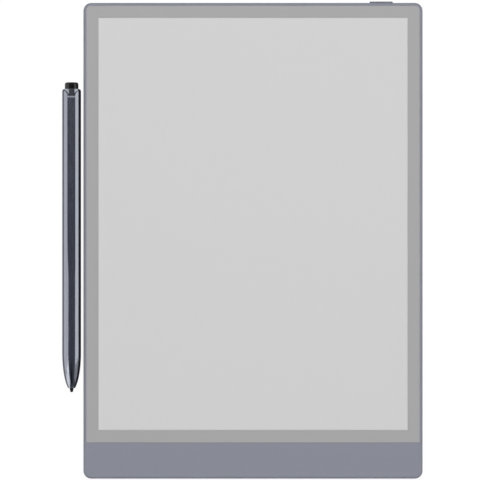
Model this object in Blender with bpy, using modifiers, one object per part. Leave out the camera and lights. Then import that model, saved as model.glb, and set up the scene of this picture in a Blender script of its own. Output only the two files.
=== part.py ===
"""An e-paper note tablet and its stylus, modelled piece by piece.

Metres, +Z up. The tablet lies on its back: its screen faces +Z and its power button is on the +Y edge.
The origin is the middle of the flat rear face. The stylus lies beside the -X edge, on the surface that
the tablet's feet stand on, with its tail towards +Y.
"""

import math

import bmesh
import bpy
from mathutils import Matrix

# Front face
ACTIVE_WIDTH = 0.15755          # window over the active area of the e-paper panel
ACTIVE_HEIGHT = 0.21
BORDER = 0.00618                # grey border beside and above the window
BORDER_BELOW = 0.00636          # grey border under the window
RIM = 0.00145                   # frame edge that shows round the border
CHIN = 0.01845                  # plain band under the border
CORNER_RADIUS = 0.004
FRONT_ROUNDING = 0.0013
REAR_ROUNDING = 0.0009
BORDER_CORNER = 0.0024          # upper corners of the border
SHARP_CORNER = 0.0003           # least rounding of an inner corner

# Layers, from the rear face to the front face
REAR_PLATE = 0.0012
CAVITY = 0.0034                 # room for the battery and the board
WEB = 0.0006                    # floor of the frame, under the display
DIGITIZER = 0.0003
PANEL = 0.0007
BEZEL = 0.0005
SCREEN_RECESS = 0.0001          # how far the film lies below the border
BOND = 0.0001                   # glue line between layers
FIT = 0.0001                    # clearance of pieces that slide or drop in
PANEL_INSET = 0.0022            # from the edge of the display pocket to the panel

# Frame and rear cover
SIDE_WALL = 0.002
CHIN_SKIN = 0.0008
CHIN_STEP = 0.0004              # extra wall above the web, round the space in the chin
CHIN_RIB = 0.0012               # wall between the display pocket and the space in the chin
LIP = 0.0008                    # locating lip of the rear cover
LIP_HEIGHT = 0.0008
LIP_GAP = 0.0006                # room beside the pieces that interrupt the lip
FOOT_RADIUS = 0.0045
FOOT_POCKET = 0.0004
FOOT_PROUD = 0.0006
FOOT_ROUNDING = 0.0002
FOOT_SIDE_INSET = 0.014
FOOT_END_INSET = 0.016

# Battery and main board
BATTERY_WIDTH = 0.1
BATTERY_LENGTH = 0.11
BATTERY_CORNER = 0.002
SWELL_GAP = 0.0004              # room for the battery to swell
BATTERY_SPACING = 0.005         # from the board to the battery
BOARD = 0.0008
BOARD_WIDTH = 0.082
BOARD_LENGTH = 0.054
BOARD_CORNER = 0.001
BOARD_EDGE_GAP = 0.0006
STANDOFF = 0.0005
BOSS_RADIUS = 0.0018
SCREW_INSET = 0.004             # from the board's edges to a screw
SCREW_RADIUS = 0.00075
SCREW_BITE = 0.00085            # depth of the screw hole in its boss
SCREW_HEAD = 0.0005
SCREW_HEAD_RADIUS = 0.0014
CHIP_CLEARANCE = 0.0006         # under the shields on the board
PROCESSOR_SIZE = 0.026
RADIO_WIDTH = 0.014
RADIO_LENGTH = 0.018
MEMORY_SIZE = 0.012
MEMORY = 0.0009
CHIP_SPACING = 0.004
CHIP_SETBACK = 0.01             # from the board's upper edge to the shields
BATTERY_LEAD_WIDTH = 0.006
BATTERY_LEAD = 0.0005
CONNECTOR = 0.0009              # height of the connectors
CONNECTOR_DEPTH = 0.0035

# Charging socket
USB_WIDTH = 0.00894
USB_HEIGHT = 0.00316
USB_DEPTH = 0.00735
USB_WALL = 0.0003
USB_RECESS = 0.0002
USB_FIT = 0.00015
TONGUE_WIDTH = 0.0064
TONGUE = 0.0007
TONGUE_REACH = 0.0045
TONGUE_BLOCK = 0.0016

# Ribbon cables
FLEX = 0.00012
DISPLAY_FLEX_WIDTH = 0.018
DIGITIZER_FLEX_WIDTH = 0.014
FLEX_OFFSET = 0.02              # from the middle of the chin to each ribbon
FLEX_MARGIN = 0.002             # connectors and slot are wider than the ribbons by this
FLEX_CONNECTOR_Y = 0.0095       # from the lower edge to the ribbons' connectors
FLEX_LEVEL = 0.00015            # height at which a ribbon leaves its layer
FLEX_STRAIGHT = 0.0005          # straight lengths at the ends of a ribbon's bend
FLEX_BEND_STEPS = 8
BUTTON_FLEX_WIDTH = 0.004
BUTTON_FLEX_WALL_GAP = 0.002    # from the side wall to the button's ribbon
BUTTON_FLEX_Y = 0.036           # from the lower edge to where the ribbon meets the board
BUTTON_FLEX_LAP = 0.003

# Power button
BUTTON_FROM_RIGHT = 0.021       # from the right edge to the middle of the button
BUTTON_LENGTH = 0.0118
BUTTON_HEIGHT = 0.0022
BUTTON_PROUD = 0.0008
BUTTON_ROUNDING = 0.0003
FLANGE_LENGTH = 0.014
FLANGE_HEIGHT = 0.002
FLANGE = 0.0007
SWITCH_WIDTH = 0.0046
SWITCH_DEPTH = 0.002
SWITCH_HEIGHT = 0.0015
SWITCH_GAP = 0.0011             # from the button's flange to the switch
PLUNGER_RADIUS = 0.0005
PLUNGER_LAP = 0.0003            # how far the plunger reaches into the switch at rest
PLUNGER_HOLE = 0.0009
BRACKET = 0.0008
BRACKET_WIDTH = 0.01
BRACKET_FOOT = 0.005
BRACKET_FOOT_HEIGHT = 0.0006

# Magnets along the left edge
MAGNET = 0.0016
MAGNET_LENGTH = 0.024
MAGNET_PITCH = 0.05
MAGNET_COUNT = 3
MAGNET_FLOOR_GAP = 0.0002

# Stylus, measured along its axis from the front end of its barrel
STYLUS_GAP = 0.00128            # between the barrel and the tablet's left edge
STYLUS_FRONT_Y = -0.07532       # where the front end of the barrel lies
BARREL_RADIUS = 0.0048
BARREL_LENGTH = 0.15272
BARREL_WALL = 0.0012
FLAT_DEPTH = 0.00043            # depth of the flat on the front of the barrel
FLAT_LENGTH = 0.0396            # from the tail to where the flat starts to run out
FLAT_RUNOUT = 0.052
TAIL_BEVEL = 0.0034             # length of the bevel at the tail end of the flat
TAIL_LIP = 0.00015              # edge left round the bore at the tail
SHOULDER = 0.0012               # rounding of the tail
SHOULDER_STEPS = 4
NOSE_AXIS = 0.0195              # long half axis of the nose's ellipse
NOSE_TIP_RADIUS = 0.00175
NOSE_STEPS = 9
NIB_RADIUS = 0.001
NIB_TIP_RADIUS = 0.0008
NIB_REACH = 0.0019
NIB_SHOULDER = 0.0034           # where the nib narrows to its stem
NIB_STEM_RADIUS = 0.0007
NIB_TIP_STEPS = 5
NOSE_SEAT = 0.0045              # depth of the nib's guide hole
FERRITE_LENGTH = 0.012
FERRITE_RADIUS = 0.0019
COIL_BUILD = 0.0006
COIL_LENGTH = 0.009
COIL_SETBACK = 0.001            # from the front of the ferrite to the coil
NOSE_BORE_LENGTH = 0.0066       # narrow bore round the coil
TIP_SENSOR_LENGTH = 0.008
SENSOR_SOCKET = 0.006           # depth of the hole that takes the nib's stem
SENSOR_TRAVEL = 0.0007          # room behind the stem at rest
STYLUS_BOARD = 0.0008
STYLUS_BOARD_INSET = 0.00775    # from each end of the carrier to the circuit board
STYLUS_MAGNET_LENGTH = 0.014
STYLUS_MAGNET_WIDTH = 0.0016
STYLUS_MAGNET = 0.0014
STYLUS_MAGNET_OFFSET = 0.0012   # from the axis towards the tablet
STYLUS_MAGNET_PITCH = 0.05
ERASER_SENSOR_LENGTH = 0.0062
ERASER_SOCKET = 0.0035
ERASER_GAP = 0.0008             # from the eraser to its sensor at rest
ERASER_DEPTH = 0.00494          # how far the eraser sits in the barrel
ERASER_PROUD = 0.0034
ERASER_ROUNDING = 0.0011
ERASER_STEPS = 4
ERASER_STEM_RADIUS = 0.001

# Shaping
CORNER_STEPS = 6
EDGE_STEPS = 3
ROD_SIDES = 24
TURN_STEPS = 28
BARREL_STEPS = 48
FULL_ROUND = 0.98               # share of half the height used to round a long opening's ends
OVERSHOOT = 0.001               # how far a cutter passes the surface it opens
WELD = 0.000001
SMOOTH_ANGLE = math.radians(35)

# Outline of the tablet
BODY_WIDTH = ACTIVE_WIDTH + 2 * (BORDER + RIM)
BODY_HEIGHT = RIM + BORDER + ACTIVE_HEIGHT + BORDER_BELOW + CHIN
RIGHT = BODY_WIDTH / 2
LEFT = -RIGHT
TOP = BODY_HEIGHT / 2
BOTTOM = -TOP
CHIN_TOP = BOTTOM + CHIN
ACTIVE_BOTTOM = CHIN_TOP + BORDER_BELOW

# Heights of the layers
BAND_Z = REAR_PLATE + BOND
WEB_Z = REAR_PLATE + CAVITY
WEB_TOP = WEB_Z + WEB
DIGITIZER_Z = WEB_TOP + BOND
PANEL_Z = DIGITIZER_Z + DIGITIZER + BOND
BEZEL_Z = PANEL_Z + PANEL + BOND
FRONT_Z = BEZEL_Z + BEZEL
CHIN_CEILING = FRONT_Z - CHIN_SKIN

# Board, socket and button places
BOSS_Z = WEB_Z - STANDOFF
BOARD_TOP = BOSS_Z - BOND
BOARD_Z = BOARD_TOP - BOARD
BOARD_BOTTOM = BOTTOM + SIDE_WALL + BOARD_EDGE_GAP
BOARD_UPPER = BOARD_BOTTOM + BOARD_LENGTH
UNDER_BOARD = BOARD_Z - BOND
USB_Z = BOARD_Z + BOARD / 2
USB_FRONT = BOTTOM + USB_RECESS
USB_BACK = USB_FRONT + USB_DEPTH
BUTTON_X = RIGHT - BUTTON_FROM_RIGHT
BUTTON_Z = BOARD_TOP - SWITCH_HEIGHT / 2
FLANGE_BACK = SIDE_WALL + FIT + FLANGE
SWITCH_FRONT = TOP - FLANGE_BACK - SWITCH_GAP
SWITCH_BACK = SWITCH_FRONT - SWITCH_DEPTH
BATTERY_BOTTOM = BOARD_UPPER + BATTERY_SPACING
LEAD_X = BOARD_WIDTH / 4

# Stylus places
STYLUS_X = LEFT - STYLUS_GAP - BARREL_RADIUS
STYLUS_Z = BARREL_RADIUS - FOOT_PROUD
BORE = BARREL_RADIUS - BARREL_WALL
INSERT_RADIUS = BORE - FIT
NOSE_BORE = FERRITE_RADIUS + BOND + COIL_BUILD + FIT
FERRITE_Z = NOSE_SEAT + BOND
TIP_SENSOR_Z = FERRITE_Z + FERRITE_LENGTH + BOND
STEM_END = TIP_SENSOR_Z + SENSOR_SOCKET - SENSOR_TRAVEL
CARRIER_Z = TIP_SENSOR_Z + TIP_SENSOR_LENGTH + BOND
ERASER_Z = BARREL_LENGTH - ERASER_DEPTH
ERASER_SENSOR_END = ERASER_Z - ERASER_GAP
ERASER_SENSOR_Z = ERASER_SENSOR_END - ERASER_SENSOR_LENGTH
CARRIER_LENGTH = ERASER_SENSOR_Z - BOND - CARRIER_Z
STYLUS_BOARD_LENGTH = CARRIER_LENGTH - 2 * STYLUS_BOARD_INSET

# Colour (8-bit sRGB), roughness and metallic value of each finish
FINISHES = {
    "frame_paint": ((138, 141, 151), 0.45, 0.6),
    "border_grey": ((166, 166, 166), 0.6, 0.0),
    "writing_film": ((208, 208, 208), 0.7, 0.0),
    "display_glass": ((196, 197, 198), 0.3, 0.0),
    "board_green": ((46, 84, 62), 0.5, 0.0),
    "tinned_steel": ((170, 172, 176), 0.35, 1.0),
    "chip_black": ((34, 35, 37), 0.5, 0.0),
    "battery_wrap": ((70, 72, 76), 0.5, 0.0),
    "ribbon_amber": ((150, 98, 40), 0.45, 0.0),
    "moulded_black": ((24, 24, 26), 0.4, 0.0),
    "rubber": ((40, 41, 43), 0.85, 0.0),
    "magnet_nickel": ((186, 186, 182), 0.25, 1.0),
    "barrel_metal": ((116, 120, 130), 0.3, 0.9),
    "ferrite": ((58, 56, 55), 0.6, 0.0),
    "copper_wire": ((176, 104, 62), 0.35, 1.0),
}


def srgb(channel):
    """An 8-bit sRGB channel as a linear value."""
    share = channel / 255
    if share <= 0.04045:
        return share / 12.92
    return ((share + 0.055) / 1.055) ** 2.4


def make_finish(name):
    """The material of a finish, made once."""
    if name in bpy.data.materials:
        return bpy.data.materials[name]
    colour, roughness, metallic = FINISHES[name]
    material = bpy.data.materials.new(name)
    material.use_nodes = True
    shader = material.node_tree.nodes["Principled BSDF"]
    shader.inputs["Base Color"].default_value = (*[srgb(channel) for channel in colour], 1.0)
    shader.inputs["Roughness"].default_value = roughness
    shader.inputs["Metallic"].default_value = metallic
    return material


def clear_scene():
    for obj in list(bpy.data.objects):
        bpy.data.objects.remove(obj)


def new_collection(name):
    collection = bpy.data.collections.new(name)
    bpy.context.scene.collection.children.link(collection)
    return collection


def shape_mesh(name, shape):
    """Turns a bmesh into a mesh with smooth rounds and sharp edges."""
    bmesh.ops.recalc_face_normals(shape, faces=shape.faces)
    mesh = bpy.data.meshes.new(name)
    shape.to_mesh(mesh)
    shape.free()
    mesh.shade_smooth()
    mesh.set_sharp_from_angle(angle=SMOOTH_ANGLE)
    return mesh


def add_mesh(name, mesh, finish, parent=None):
    """Adds a sub-part that has this mesh."""
    if not mesh.materials:
        mesh.materials.append(make_finish(finish))
    obj = bpy.data.objects.new(name, mesh)
    obj.parent = parent
    PARTS.objects.link(obj)
    return obj


def add_part(name, shape, finish, parent=None):
    return add_mesh(name, shape_mesh(name, shape), finish, parent)


def add_tool(name, shape, parent=None):
    """Adds a solid that only shapes other pieces."""
    obj = bpy.data.objects.new(name, shape_mesh(name, shape))
    obj.parent = parent
    obj.hide_render = True
    obj.display_type = "WIRE"
    TOOLS.objects.link(obj)
    return obj


def combine(target, tool, operation):
    modifier = target.modifiers.new(tool.name, "BOOLEAN")
    modifier.operation = operation
    modifier.object = tool


def cut(target, name, shape):
    """Takes a shape away from a piece."""
    combine(target, add_tool(name, shape, target.parent), "DIFFERENCE")


def join(target, name, shape):
    """Adds a shape to a piece."""
    combine(target, add_tool(name, shape, target.parent), "UNION")


def slab(x, y, z, corner=0.0, low_corner=None):
    """A block between two values on each axis, with its upright edges rounded, at low Y by low_corner."""
    shape = bmesh.new()
    middle = [(low + high) / 2 for low, high in (x, y, z)]
    size = [high - low for low, high in (x, y, z)]
    place = Matrix.Translation(middle) @ Matrix.Diagonal((*size, 1.0))
    bmesh.ops.create_cube(shape, size=1.0, matrix=place)
    if low_corner is None:
        low_corner = corner
    for radius, is_low in ((corner, False), (low_corner, True)):
        upright = [edge for edge in shape.edges if is_upright(edge)]
        edges = [edge for edge in upright if (edge.verts[0].co.y < middle[1]) == is_low]
        if radius > 0.0:
            bmesh.ops.bevel(shape, geom=edges, offset=radius, segments=CORNER_STEPS, profile=0.5,
                            affect="EDGES")
    return shape


def is_upright(edge):
    return (edge.verts[0].co - edge.verts[1].co).xy.length < WELD


def round_ring(shape, level, radius):
    """Rounds the edges that lie at one height."""
    edges = [edge for edge in shape.edges if all(abs(vert.co.z - level) < WELD for vert in edge.verts)]
    bmesh.ops.bevel(shape, geom=edges, offset=radius, segments=EDGE_STEPS, profile=0.5, affect="EDGES")


def rod(radius, z, x=0.0, y=0.0):
    """An upright round rod."""
    shape = bmesh.new()
    place = Matrix.Translation((x, y, (z[0] + z[1]) / 2))
    bmesh.ops.create_cone(shape, cap_ends=True, segments=ROD_SIDES, radius1=radius, radius2=radius,
                          depth=z[1] - z[0], matrix=place)
    return shape


def laid(shape, x, y, z):
    """Lays an upright shape along -Y, and moves it: its own Z becomes -Y and its own Y becomes Z."""
    place = Matrix.Translation((x, y, z)) @ Matrix.Rotation(math.pi / 2, 4, "X")
    bmesh.ops.transform(shape, matrix=place, verts=shape.verts)
    return shape


def oblong(width, height, y, x=0.0, z=0.0):
    """A bar along Y whose section has round ends."""
    corner = height / 2 * FULL_ROUND
    bar = slab((-width / 2, width / 2), (-height / 2, height / 2), (-y[1], -y[0]), corner)
    return laid(bar, x, 0.0, z)


def prism(outline, thickness, place):
    """A flat outline in X and Y given a thickness along Z, then placed."""
    curve = bpy.data.curves.new("outline", "CURVE")
    curve.dimensions = "2D"
    curve.fill_mode = "BOTH"
    curve.extrude = thickness / 2
    spline = curve.splines.new("POLY")
    spline.points.add(len(outline) - 1)
    for point, (x, y) in zip(spline.points, outline):
        point.co = (x, y, 0.0, 1.0)
    spline.use_cyclic_u = True
    guide = bpy.data.objects.new("outline", curve)
    TOOLS.objects.link(guide)
    mesh = bpy.data.meshes.new_from_object(guide.evaluated_get(bpy.context.evaluated_depsgraph_get()))
    bpy.data.objects.remove(guide)
    shape = bmesh.new()
    shape.from_mesh(mesh)
    bmesh.ops.remove_doubles(shape, verts=shape.verts, dist=WELD)
    bmesh.ops.transform(shape, matrix=place, verts=shape.verts)
    return shape


def turned(name, profile, finish, parent=None, closed=False, steps=TURN_STEPS):
    """A profile of (radius, height) points, run down its outer side, turned about local Z."""
    mesh = bpy.data.meshes.new(name)
    edges = [(index, index + 1) for index in range(len(profile) - 1)]
    if closed:
        edges.append((len(profile) - 1, 0))
    mesh.from_pydata([(radius, 0.0, height) for radius, height in profile], edges, [])
    obj = add_mesh(name, mesh, finish, parent)
    screw = obj.modifiers.new("Turn", "SCREW")
    screw.steps = steps
    screw.render_steps = steps
    screw.use_merge_vertices = True
    screw.merge_threshold = WELD
    return obj


def tube(outer, inner, low, high):
    """The closed profile of a tube."""
    return [(outer, high), (outer, low), (inner, low), (inner, high)]


def inner_corner(inset):
    """The tablet's corner radius, carried inwards."""
    return max(CORNER_RADIUS - inset, SHARP_CORNER)


def inset_slab(inset, z):
    """A block that follows the tablet's outline at a distance inside it."""
    return slab((LEFT + inset, RIGHT - inset), (BOTTOM + inset, TOP - inset), z, inner_corner(inset))


def screw_places():
    """The four board screws, as x and y, the two in the chin first."""
    x = BOARD_WIDTH / 2 - SCREW_INSET
    rows = (BOARD_BOTTOM + SCREW_INSET, BOARD_UPPER - SCREW_INSET)
    return [(side * x, y) for y in rows for side in (-1, 1)]


def foot_places():
    x = RIGHT - FOOT_SIDE_INSET
    y = TOP - FOOT_END_INSET
    return [(-x, -y), (x, -y), (-x, y), (x, y)]


def build_rear_cover():
    plate = inset_slab(0.0, (0.0, REAR_PLATE))
    round_ring(plate, 0.0, REAR_ROUNDING)
    cover = add_part("rear_cover", plate, "frame_paint")
    lip_top = REAR_PLATE + LIP_HEIGHT
    lip_inset = SIDE_WALL + FIT
    join(cover, "lip_block", inset_slab(lip_inset, (REAR_PLATE / 2, lip_top)))
    cut(cover, "lip_inside", inset_slab(lip_inset + LIP, (REAR_PLATE, lip_top + OVERSHOOT)))
    notch_z = (REAR_PLATE + BOND, lip_top + OVERSHOOT)
    notch_reach = SIDE_WALL + LIP + OVERSHOOT
    socket_half = USB_WIDTH / 2 + LIP_GAP
    cut(cover, "lip_socket_notch", slab((-socket_half, socket_half),
                                        (BOTTOM + SIDE_WALL, BOTTOM + notch_reach), notch_z))
    button_half = FLANGE_LENGTH / 2 + LIP_GAP
    cut(cover, "lip_button_notch", slab((BUTTON_X - button_half, BUTTON_X + button_half),
                                        (TOP - notch_reach, TOP - SIDE_WALL), notch_z))
    for index, (x, y) in enumerate(foot_places(), 1):
        cut(cover, f"foot_pocket_{index}", rod(FOOT_RADIUS + FIT, (-OVERSHOOT, FOOT_POCKET), x, y))


def build_feet():
    for index, (x, y) in enumerate(foot_places(), 1):
        foot = rod(FOOT_RADIUS, (-FOOT_PROUD, FOOT_POCKET - BOND), x, y)
        round_ring(foot, -FOOT_PROUD, FOOT_ROUNDING)
        add_part(f"rear_foot_{index}", foot, "rubber")


def build_mid_frame():
    band = inset_slab(0.0, (BAND_Z, FRONT_Z))
    round_ring(band, FRONT_Z, FRONT_ROUNDING)
    frame = add_part("mid_frame", band, "frame_paint")
    cut(frame, "display_pocket", slab((LEFT + RIM, RIGHT - RIM), (CHIN_TOP, TOP - RIM),
                                      (WEB_TOP, FRONT_Z + OVERSHOOT), BORDER_CORNER, SHARP_CORNER))
    cut(frame, "rear_cavity", inset_slab(SIDE_WALL, (BAND_Z - OVERSHOOT, WEB_Z)))
    chin_inset = SIDE_WALL + CHIN_STEP
    rib = CHIN_TOP - CHIN_RIB
    cut(frame, "chin_space", slab((LEFT + chin_inset, RIGHT - chin_inset), (BOTTOM + chin_inset, rib),
                                  (WEB_Z - OVERSHOOT, CHIN_CEILING), SHARP_CORNER, inner_corner(chin_inset)))
    hole_z = (BOSS_Z - OVERSHOOT, BOSS_Z + SCREW_BITE)
    for index, (x, y) in enumerate(screw_places(), 1):
        root = CHIN_CEILING + CHIN_SKIN / 2 if y < rib else WEB_Z + WEB / 2
        join(frame, f"boss_{index}", rod(BOSS_RADIUS, (BOSS_Z, root), x, y))
        cut(frame, f"boss_hole_{index}", rod(SCREW_RADIUS + FIT, hole_z, x, y))
    slot_half = FLEX_OFFSET + DISPLAY_FLEX_WIDTH / 2 + FLEX_MARGIN
    cut(frame, "ribbon_slot", slab((-slot_half, slot_half), (rib - OVERSHOOT, CHIN_TOP + OVERSHOOT),
                                   (DIGITIZER_Z, CHIN_CEILING - BOND)))
    cut(frame, "socket_slot", oblong(USB_WIDTH + 2 * USB_FIT, USB_HEIGHT + 2 * USB_FIT,
                                     (BOTTOM - OVERSHOOT, BOTTOM + chin_inset + OVERSHOOT), 0.0, USB_Z))
    cut(frame, "button_slot", oblong(BUTTON_LENGTH + 2 * FIT, BUTTON_HEIGHT + 2 * FIT,
                                     (TOP - SIDE_WALL - OVERSHOOT, TOP + OVERSHOOT), BUTTON_X, BUTTON_Z))


def build_display():
    sheet = slab((LEFT + RIM + FIT, RIGHT - RIM - FIT), (CHIN_TOP + FIT, TOP - RIM - FIT), (BEZEL_Z, FRONT_Z),
                 BORDER_CORNER - FIT, SHARP_CORNER)
    bezel = add_part("front_bezel", sheet, "border_grey")
    half = ACTIVE_WIDTH / 2
    active_top = ACTIVE_BOTTOM + ACTIVE_HEIGHT
    cut(bezel, "screen_window", slab((-half, half), (ACTIVE_BOTTOM, active_top),
                                     (BEZEL_Z - OVERSHOOT, FRONT_Z + OVERSHOOT)))
    film = slab((-half + FIT, half - FIT), (ACTIVE_BOTTOM + FIT, active_top - FIT),
                (BEZEL_Z, FRONT_Z - SCREEN_RECESS))
    add_part("screen_film", film, "writing_film")
    inset = RIM + PANEL_INSET
    x = (LEFT + inset, RIGHT - inset)
    y = (CHIN_TOP + PANEL_INSET, TOP - inset)
    add_part("epaper_panel", slab(x, y, (PANEL_Z, PANEL_Z + PANEL)), "display_glass")
    add_part("digitizer_board", slab(x, y, (DIGITIZER_Z, DIGITIZER_Z + DIGITIZER)), "board_green")


def build_battery():
    half = BATTERY_WIDTH / 2
    pack = slab((-half, half), (BATTERY_BOTTOM, BATTERY_BOTTOM + BATTERY_LENGTH),
                (REAR_PLATE + SWELL_GAP, WEB_Z - BOND), BATTERY_CORNER)
    add_part("battery_pack", pack, "battery_wrap")
    socket_half = BATTERY_LEAD_WIDTH / 2 + FLEX_MARGIN / 2
    socket_top = BOARD_UPPER - FLEX_MARGIN
    socket = slab((LEAD_X - socket_half, LEAD_X + socket_half), (socket_top - CONNECTOR_DEPTH, socket_top),
                  (UNDER_BOARD - CONNECTOR, UNDER_BOARD))
    add_part("battery_connector", socket, "moulded_black")
    lead_z = UNDER_BOARD - CONNECTOR / 2
    lead = slab((LEAD_X - BATTERY_LEAD_WIDTH / 2, LEAD_X + BATTERY_LEAD_WIDTH / 2),
                (socket_top + BOND, BATTERY_BOTTOM - BOND),
                (lead_z - BATTERY_LEAD / 2, lead_z + BATTERY_LEAD / 2))
    add_part("battery_lead", lead, "moulded_black")


def build_main_board():
    half = BOARD_WIDTH / 2
    plate = slab((-half, half), (BOARD_BOTTOM, BOARD_UPPER), (BOARD_Z, BOARD_TOP), BOARD_CORNER)
    board = add_part("main_board", plate, "board_green")
    notch_half = USB_WIDTH / 2 + USB_FIT
    through = (BOARD_Z - OVERSHOOT, BOARD_TOP + OVERSHOOT)
    cut(board, "socket_notch", slab((-notch_half, notch_half), (BOARD_BOTTOM - OVERSHOOT, USB_BACK + USB_FIT),
                                    through))
    head_z = UNDER_BOARD - SCREW_HEAD
    shank_top = BOSS_Z + SCREW_BITE - FIT
    for index, (x, y) in enumerate(screw_places(), 1):
        cut(board, f"board_hole_{index}", rod(SCREW_RADIUS + FIT, through, x, y))
        profile = [(0.0, shank_top), (SCREW_RADIUS, shank_top), (SCREW_RADIUS, UNDER_BOARD),
                   (SCREW_HEAD_RADIUS, UNDER_BOARD), (SCREW_HEAD_RADIUS, head_z), (0.0, head_z)]
        screw = turned(f"board_screw_{index}", profile, "tinned_steel")
        screw.location = (x, y, 0.0)
    chip_top = BOARD_UPPER - CHIP_SETBACK
    shield_z = (REAR_PLATE + CHIP_CLEARANCE, UNDER_BOARD)
    processor_half = PROCESSOR_SIZE / 2
    processor = slab((-processor_half, processor_half), (chip_top - PROCESSOR_SIZE, chip_top), shield_z,
                     SHARP_CORNER)
    add_part("processor_shield", processor, "tinned_steel")
    radio_right = -processor_half - CHIP_SPACING
    radio = slab((radio_right - RADIO_WIDTH, radio_right), (chip_top - RADIO_LENGTH, chip_top), shield_z,
                 SHARP_CORNER)
    add_part("radio_shield", radio, "tinned_steel")
    memory_left = processor_half + CHIP_SPACING
    memory = slab((memory_left, memory_left + MEMORY_SIZE), (chip_top - MEMORY_SIZE, chip_top),
                  (UNDER_BOARD - MEMORY, UNDER_BOARD))
    add_part("memory_chip", memory, "chip_black")


def build_usb_socket():
    sleeve = oblong(USB_WIDTH, USB_HEIGHT, (USB_FRONT, USB_BACK), 0.0, USB_Z)
    shell = add_part("usb_shell", sleeve, "tinned_steel")
    mouth_width = USB_WIDTH - 2 * USB_WALL
    mouth_height = USB_HEIGHT - 2 * USB_WALL
    mouth_y = (USB_FRONT - OVERSHOOT, USB_BACK + OVERSHOOT)
    cut(shell, "socket_mouth", oblong(mouth_width, mouth_height, mouth_y, 0.0, USB_Z))
    block_y = (USB_BACK - TONGUE_BLOCK, USB_BACK)
    block = oblong(mouth_width - 2 * FIT, mouth_height - 2 * FIT, block_y, 0.0, USB_Z)
    tongue = add_part("usb_tongue", block, "moulded_black")
    tongue_back = USB_BACK - TONGUE_BLOCK / 2
    join(tongue, "tongue_blade", slab((-TONGUE_WIDTH / 2, TONGUE_WIDTH / 2),
                                      (USB_BACK - TONGUE_BLOCK - TONGUE_REACH, tongue_back),
                                      (USB_Z - TONGUE / 2, USB_Z + TONGUE / 2)))


def add_ribbon(name, x, start, end):
    """A ribbon cable that runs straight from start, bends down and ends straight: (y, z) at each end."""
    bend_start = CHIN_TOP - CHIN_RIB - FLEX_STRAIGHT
    bend_end = end[0] + FLEX_STRAIGHT
    path = [start]
    for step in range(FLEX_BEND_STEPS + 1):
        share = step / FLEX_BEND_STEPS
        fall = share * share * (3 - 2 * share)
        path.append((bend_start + share * (bend_end - bend_start), start[1] + fall * (end[1] - start[1])))
    path.append(end)
    shape = bmesh.new()
    line = [shape.verts.new((x[0], y, z)) for y, z in path]
    edges = [shape.edges.new(pair) for pair in zip(line, line[1:])]
    sheet = bmesh.ops.extrude_edge_only(shape, edges=edges)["geom"]
    moved = [item for item in sheet if isinstance(item, bmesh.types.BMVert)]
    bmesh.ops.translate(shape, verts=moved, vec=(x[1] - x[0], 0.0, 0.0))
    ribbon = add_part(name, shape, "ribbon_amber")
    solidify = ribbon.modifiers.new("Thickness", "SOLIDIFY")
    solidify.thickness = FLEX
    solidify.offset = 0.0


def build_ribbons():
    """The display's and the digitizer's ribbons, from their lower edges to connectors on the board."""
    start_y = CHIN_TOP + PANEL_INSET - BOND
    low = BOTTOM + FLEX_CONNECTOR_Y
    high = low + CONNECTOR_DEPTH
    z = (BOARD_TOP + BOND, BOARD_TOP + BOND + CONNECTOR)
    end = (high + BOND, (z[0] + z[1]) / 2)
    ribbons = (
        ("display", -FLEX_OFFSET, DISPLAY_FLEX_WIDTH, PANEL_Z + FLEX_LEVEL),
        ("digitizer", FLEX_OFFSET, DIGITIZER_FLEX_WIDTH, DIGITIZER_Z + FLEX_LEVEL),
    )
    for name, middle, width, level in ribbons:
        add_ribbon(f"{name}_flex", (middle - width / 2, middle + width / 2), (start_y, level), end)
        half = (width + FLEX_MARGIN) / 2
        add_part(f"{name}_connector", slab((middle - half, middle + half), (low, high), z), "moulded_black")


def build_power_button():
    """The button's origin is where its axis of travel passes through the top edge."""
    cap = oblong(BUTTON_LENGTH, BUTTON_HEIGHT, (-FLANGE_BACK + FLANGE / 2, BUTTON_PROUD))
    front = [edge for edge in cap.edges if all(abs(vert.co.y - BUTTON_PROUD) < WELD for vert in edge.verts)]
    bmesh.ops.bevel(cap, geom=front, offset=BUTTON_ROUNDING, segments=EDGE_STEPS, profile=0.5, affect="EDGES")
    button = add_part("power_button", cap, "frame_paint")
    button.location = (BUTTON_X, TOP, BUTTON_Z)
    flange = add_tool("button_flange", slab((-FLANGE_LENGTH / 2, FLANGE_LENGTH / 2),
                                            (-FLANGE_BACK, -FLANGE_BACK + FLANGE),
                                            (-FLANGE_HEIGHT / 2, FLANGE_HEIGHT / 2)))
    flange.location = button.location
    combine(button, flange, "UNION")
    plunger_length = SWITCH_GAP - BOND + PLUNGER_LAP
    plunger = laid(rod(PLUNGER_RADIUS, (0.0, plunger_length)), 0.0, -FLANGE_BACK - BOND, 0.0)
    add_part("switch_plunger", plunger, "moulded_black").location = button.location


def build_power_switch():
    x = (BUTTON_X - SWITCH_WIDTH / 2, BUTTON_X + SWITCH_WIDTH / 2)
    z = (BUTTON_Z - SWITCH_HEIGHT / 2, BUTTON_Z + SWITCH_HEIGHT / 2)
    switch = add_part("power_switch", slab(x, (SWITCH_BACK, SWITCH_FRONT), z), "moulded_black")
    hole = laid(rod(PLUNGER_RADIUS + FIT, (-OVERSHOOT, PLUNGER_HOLE)), BUTTON_X, SWITCH_FRONT, BUTTON_Z)
    cut(switch, "plunger_hole", hole)
    plate_x = (BUTTON_X - BRACKET_WIDTH / 2, BUTTON_X + BRACKET_WIDTH / 2)
    plate_front = SWITCH_BACK - BOND
    plate = slab(plate_x, (plate_front - BRACKET, plate_front), (z[0], WEB_Z - BOND))
    bracket = add_part("button_bracket", plate, "tinned_steel")
    join(bracket, "bracket_foot", slab(plate_x, (plate_front - BRACKET_FOOT, plate_front - BRACKET / 2),
                                       (WEB_Z - BOND - BRACKET_FOOT_HEIGHT, WEB_Z - BOND)))


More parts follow.
